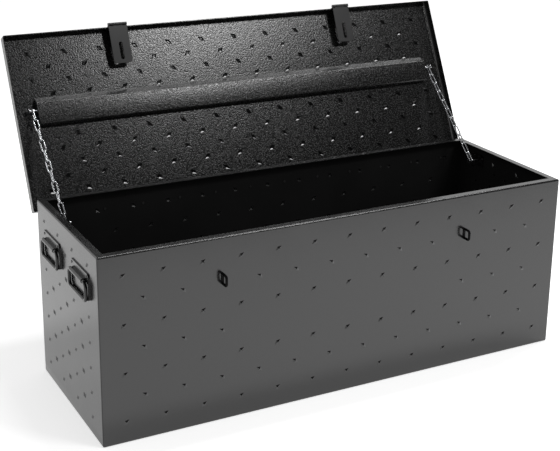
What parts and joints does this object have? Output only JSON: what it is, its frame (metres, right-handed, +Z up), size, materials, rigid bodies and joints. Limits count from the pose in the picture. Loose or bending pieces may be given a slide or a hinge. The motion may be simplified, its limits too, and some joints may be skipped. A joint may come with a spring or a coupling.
{
  "type": "jobsite storage box",
  "caption": "Sheet-steel jobsite storage box with a hinged lid on chains, slotted hasps over staples and swinging bail handles on both ends.",
  "frame": {"origin": "middle of the flat bottom face, on the floor", "axes": "+X along the length, +Y to the hinge side, +Z up"},
  "size_m": [1.245, 0.6652, 0.8068],
  "materials": {
    "box_coat": "smooth gloss powder coat",
    "lid_coat": "orange-peel gloss powder coat",
    "handle_coat": "gloss black powder coat",
    "hasp_coat": "satin dark grey powder coat",
    "hinge_steel": "satin dark grey coat",
    "zinc_steel": "bright zinc plate"
  },
  "bodies": {
    "box": {"bottom_pan": "box_coat", "front_panel": "box_coat", "back_panel": "box_coat", "left_end_panel": "box_coat", "right_end_panel": "box_coat", "staple_left": "hasp_coat", "staple_right": "hasp_coat", "handle_plate_left_front": "handle_coat", "handle_plate_left_rear": "handle_coat", "handle_plate_right_front": "handle_coat", "handle_plate_right_rear": "handle_coat", "handle_rivets": "handle_coat", "chain_bracket_left": "box_coat", "chain_bracket_right": "box_coat", "chain_stud_left": "zinc_steel", "chain_stud_right": "zinc_steel", "hinge_box_leaf": "hinge_steel", "hinge_pin": "hinge_steel", "hinge_rivets_box": "hinge_steel"},
    "lid": {"lid_panel": "lid_coat", "lid_channel": "lid_coat", "hinge_lid_leaf": "hinge_steel", "hinge_rivets_lid": "hinge_steel", "hasp_fixed_leaf_left": "hasp_coat", "hasp_fixed_leaf_right": "hasp_coat", "hasp_rivets": "hasp_coat", "chain_screw_left": "zinc_steel", "chain_screw_right": "zinc_steel"},
    "hasp_pin_left": {"hasp_pin_left": "hasp_coat"},
    "hasp_leaf_left": {"hasp_leaf_left": "hasp_coat"},
    "hasp_pin_right": {"hasp_pin_right": "hasp_coat"},
    "hasp_leaf_right": {"hasp_leaf_right": "hasp_coat"},
    "handle_bail_left_front": {"handle_bail_left_front": "handle_coat"},
    "handle_bail_left_rear": {"handle_bail_left_rear": "handle_coat"},
    "handle_bail_right_front": {"handle_bail_right_front": "handle_coat"},
    "handle_bail_right_rear": {"handle_bail_right_rear": "handle_coat"},
    "chain_link_01_left": {"chain_link_01_left": "zinc_steel"},
    "chain_link_02_left": {"chain_link_02_left": "zinc_steel"},
    "chain_link_03_left": {"chain_link_03_left": "zinc_steel"},
    "chain_link_04_left": {"chain_link_04_left": "zinc_steel"},
    "chain_link_05_left": {"chain_link_05_left": "zinc_steel"},
    "chain_link_06_left": {"chain_link_06_left": "zinc_steel"},
    "chain_link_07_left": {"chain_link_07_left": "zinc_steel"},
    "chain_link_08_left": {"chain_link_08_left": "zinc_steel"},
    "chain_link_09_left": {"chain_link_09_left": "zinc_steel"},
    "chain_link_10_left": {"chain_link_10_left": "zinc_steel"},
    "chain_link_11_left": {"chain_link_11_left": "zinc_steel"},
    "chain_link_01_right": {"chain_link_01_right": "zinc_steel"},
    "chain_link_02_right": {"chain_link_02_right": "zinc_steel"},
    "chain_link_03_right": {"chain_link_03_right": "zinc_steel"},
    "chain_link_04_right": {"chain_link_04_right": "zinc_steel"},
    "chain_link_05_right": {"chain_link_05_right": "zinc_steel"},
    "chain_link_06_right": {"chain_link_06_right": "zinc_steel"},
    "chain_link_07_right": {"chain_link_07_right": "zinc_steel"},
    "chain_link_08_right": {"chain_link_08_right": "zinc_steel"},
    "chain_link_09_right": {"chain_link_09_right": "zinc_steel"},
    "chain_link_10_right": {"chain_link_10_right": "zinc_steel"},
    "chain_link_11_right": {"chain_link_11_right": "zinc_steel"}
  },
  "joints": [
    {"name": "lid_hinge", "type": "hinge", "parent": "box", "child": "lid", "pos_m": [0, 0.2132, 0.4148], "axis": [1, 0, 0], "range_deg": [0, 116.5]},
    {"name": "hasp_pin_left_turn", "type": "hinge", "parent": "lid", "child": "hasp_pin_left", "pos_m": [-0.323, 0.41025, 0.80285], "axis": [1, 0, 0], "range_deg": [-103.7, 0]},
    {"name": "hasp_leaf_left_swing", "type": "hinge", "parent": "hasp_pin_left", "child": "hasp_leaf_left", "pos_m": [-0.323, 0.41025, 0.80285], "axis": [-1, 0, 0], "range_deg": [-10.5, 130]},
    {"name": "hasp_pin_right_turn", "type": "hinge", "parent": "lid", "child": "hasp_pin_right", "pos_m": [0.323, 0.41025, 0.80285], "axis": [1, 0, 0], "range_deg": [-103.7, 0]},
    {"name": "hasp_leaf_right_swing", "type": "hinge", "parent": "hasp_pin_right", "child": "hasp_leaf_right", "pos_m": [0.323, 0.41025, 0.80285], "axis": [-1, 0, 0], "range_deg": [-10.5, 130]},
    {"name": "bail_left_front_swing", "type": "hinge", "parent": "box", "child": "handle_bail_left_front", "pos_m": [-0.617, -0.098, 0.367], "axis": [0, 1, 0], "range_deg": [0, 90]},
    {"name": "bail_left_rear_swing", "type": "hinge", "parent": "box", "child": "handle_bail_left_rear", "pos_m": [-0.617, 0.098, 0.367], "axis": [0, 1, 0], "range_deg": [0, 90]},
    {"name": "bail_right_front_swing", "type": "hinge", "parent": "box", "child": "handle_bail_right_front", "pos_m": [0.617, -0.098, 0.367], "axis": [0, -1, 0], "range_deg": [0, 90]},
    {"name": "bail_right_rear_swing", "type": "hinge", "parent": "box", "child": "handle_bail_right_rear", "pos_m": [0.617, 0.098, 0.367], "axis": [0, -1, 0], "range_deg": [0, 90]},
    {"name": "chain_left_01_pivot", "type": "hinge", "parent": "chain_link_02_left", "child": "chain_link_01_left", "pos_m": [-0.5715, 0.12557, 0.42562], "axis": [1, 0, 0], "range_deg": [0, 155.26]},
    {"name": "chain_left_02_pivot", "type": "hinge", "parent": "chain_link_03_left", "child": "chain_link_02_left", "pos_m": [-0.5715, 0.14928, 0.44769], "axis": [1, 0, 0], "range_deg": [-86.01, 0]},
    {"name": "chain_left_03_pivot", "type": "hinge", "parent": "chain_link_04_left", "child": "chain_link_03_left", "pos_m": [-0.5715, 0.16801, 0.46513], "axis": [1, 0, 0], "range_deg": [-86.99, 0]},
    {"name": "chain_left_04_pivot", "type": "hinge", "parent": "chain_link_05_left", "child": "chain_link_04_left", "pos_m": [-0.5715, 0.19172, 0.4872], "axis": [1, 0, 0], "range_deg": [-61.91, 0]},
    {"name": "chain_left_05_pivot", "type": "hinge", "parent": "chain_link_06_left", "child": "chain_link_05_left", "pos_m": [-0.5715, 0.21045, 0.50463], "axis": [1, 0, 0], "range_deg": [-20.28, 0]},
    {"name": "chain_left_06_pivot", "type": "hinge", "parent": "chain_link_07_left", "child": "chain_link_06_left", "pos_m": [-0.5715, 0.23416, 0.5267], "axis": [1, 0, 0], "range_deg": [0, 12.88]},
    {"name": "chain_left_07_pivot", "type": "hinge", "parent": "chain_link_08_left", "child": "chain_link_07_left", "pos_m": [-0.5715, 0.25289, 0.54414], "axis": [1, 0, 0], "range_deg": [-85.28, 0]},
    {"name": "chain_left_08_pivot", "type": "hinge", "parent": "chain_link_09_left", "child": "chain_link_08_left", "pos_m": [-0.5715, 0.2766, 0.56621], "axis": [1, 0, 0], "range_deg": [0, 85.24]},
    {"name": "chain_left_09_pivot", "type": "hinge", "parent": "chain_link_10_left", "child": "chain_link_09_left", "pos_m": [-0.5715, 0.29533, 0.58365], "axis": [1, 0, 0], "range_deg": [0, 16.26]},
    {"name": "chain_left_10_pivot", "type": "hinge", "parent": "chain_link_11_left", "child": "chain_link_10_left", "pos_m": [-0.5715, 0.31904, 0.60571], "axis": [1, 0, 0], "range_deg": [0, 13.08]},
    {"name": "chain_left_11_pivot", "type": "hinge", "parent": "lid", "child": "chain_link_11_left", "pos_m": [-0.5715, 0.33711, 0.62254], "axis": [1, 0, 0], "range_deg": [-14.28, 0]},
    {"name": "chain_right_01_pivot", "type": "hinge", "parent": "chain_link_02_right", "child": "chain_link_01_right", "pos_m": [0.5715, 0.12557, 0.42562], "axis": [1, 0, 0], "range_deg": [0, 155.26]},
    {"name": "chain_right_02_pivot", "type": "hinge", "parent": "chain_link_03_right", "child": "chain_link_02_right", "pos_m": [0.5715, 0.14928, 0.44769], "axis": [1, 0, 0], "range_deg": [-86.01, 0]},
    {"name": "chain_right_03_pivot", "type": "hinge", "parent": "chain_link_04_right", "child": "chain_link_03_right", "pos_m": [0.5715, 0.16801, 0.46513], "axis": [1, 0, 0], "range_deg": [-86.99, 0]},
    {"name": "chain_right_04_pivot", "type": "hinge", "parent": "chain_link_05_right", "child": "chain_link_04_right", "pos_m": [0.5715, 0.19172, 0.4872], "axis": [1, 0, 0], "range_deg": [-61.91, 0]},
    {"name": "chain_right_05_pivot", "type": "hinge", "parent": "chain_link_06_right", "child": "chain_link_05_right", "pos_m": [0.5715, 0.21045, 0.50463], "axis": [1, 0, 0], "range_deg": [-20.28, 0]},
    {"name": "chain_right_06_pivot", "type": "hinge", "parent": "chain_link_07_right", "child": "chain_link_06_right", "pos_m": [0.5715, 0.23416, 0.5267], "axis": [1, 0, 0], "range_deg": [0, 12.88]},
    {"name": "chain_right_07_pivot", "type": "hinge", "parent": "chain_link_08_right", "child": "chain_link_07_right", "pos_m": [0.5715, 0.25289, 0.54414], "axis": [1, 0, 0], "range_deg": [-85.28, 0]},
    {"name": "chain_right_08_pivot", "type": "hinge", "parent": "chain_link_09_right", "child": "chain_link_08_right", "pos_m": [0.5715, 0.2766, 0.56621], "axis": [1, 0, 0], "range_deg": [0, 85.24]},
    {"name": "chain_right_09_pivot", "type": "hinge", "parent": "chain_link_10_right", "child": "chain_link_09_right", "pos_m": [0.5715, 0.29533, 0.58365], "axis": [1, 0, 0], "range_deg": [0, 16.26]},
    {"name": "chain_right_10_pivot", "type": "hinge", "parent": "chain_link_11_right", "child": "chain_link_10_right", "pos_m": [0.5715, 0.31904, 0.60571], "axis": [1, 0, 0], "range_deg": [0, 13.08]},
    {"name": "chain_right_11_pivot", "type": "hinge", "parent": "lid", "child": "chain_link_11_right", "pos_m": [0.5715, 0.33711, 0.62254], "axis": [1, 0, 0], "range_deg": [-14.28, 0]}
  ],
  "couplings": [
    {"joint": "hasp_pin_left_turn", "follows": "lid_hinge", "ratio": -0.88841},
    {"joint": "hasp_pin_right_turn", "follows": "lid_hinge", "ratio": -0.88841},
    {"joint": "chain_left_01_pivot", "follows": "lid_hinge", "ratio": 1.3284},
    {"joint": "chain_left_02_pivot", "follows": "lid_hinge", "ratio": -0.734},
    {"joint": "chain_left_03_pivot", "follows": "lid_hinge", "ratio": -0.7424},
    {"joint": "chain_left_04_pivot", "follows": "lid_hinge", "ratio": -0.5271},
    {"joint": "chain_left_05_pivot", "follows": "lid_hinge", "ratio": -0.1698},
    {"joint": "chain_left_06_pivot", "follows": "lid_hinge", "ratio": 0.1063},
    {"joint": "chain_left_07_pivot", "follows": "lid_hinge", "ratio": -0.7277},
    {"joint": "chain_left_08_pivot", "follows": "lid_hinge", "ratio": 0.7274},
    {"joint": "chain_left_09_pivot", "follows": "lid_hinge", "ratio": 0.1353},
    {"joint": "chain_left_10_pivot", "follows": "lid_hinge", "ratio": 0.108},
    {"joint": "chain_left_11_pivot", "follows": "lid_hinge", "ratio": -0.1183},
    {"joint": "chain_right_01_pivot", "follows": "lid_hinge", "ratio": 1.3284},
    {"joint": "chain_right_02_pivot", "follows": "lid_hinge", "ratio": -0.734},
    {"joint": "chain_right_03_pivot", "follows": "lid_hinge", "ratio": -0.7424},
    {"joint": "chain_right_04_pivot", "follows": "lid_hinge", "ratio": -0.5271},
    {"joint": "chain_right_05_pivot", "follows": "lid_hinge", "ratio": -0.1698},
    {"joint": "chain_right_06_pivot", "follows": "lid_hinge", "ratio": 0.1063},
    {"joint": "chain_right_07_pivot", "follows": "lid_hinge", "ratio": -0.7277},
    {"joint": "chain_right_08_pivot", "follows": "lid_hinge", "ratio": 0.7274},
    {"joint": "chain_right_09_pivot", "follows": "lid_hinge", "ratio": 0.1353},
    {"joint": "chain_right_10_pivot", "follows": "lid_hinge", "ratio": 0.108},
    {"joint": "chain_right_11_pivot", "follows": "lid_hinge", "ratio": -0.1183}
  ]
}
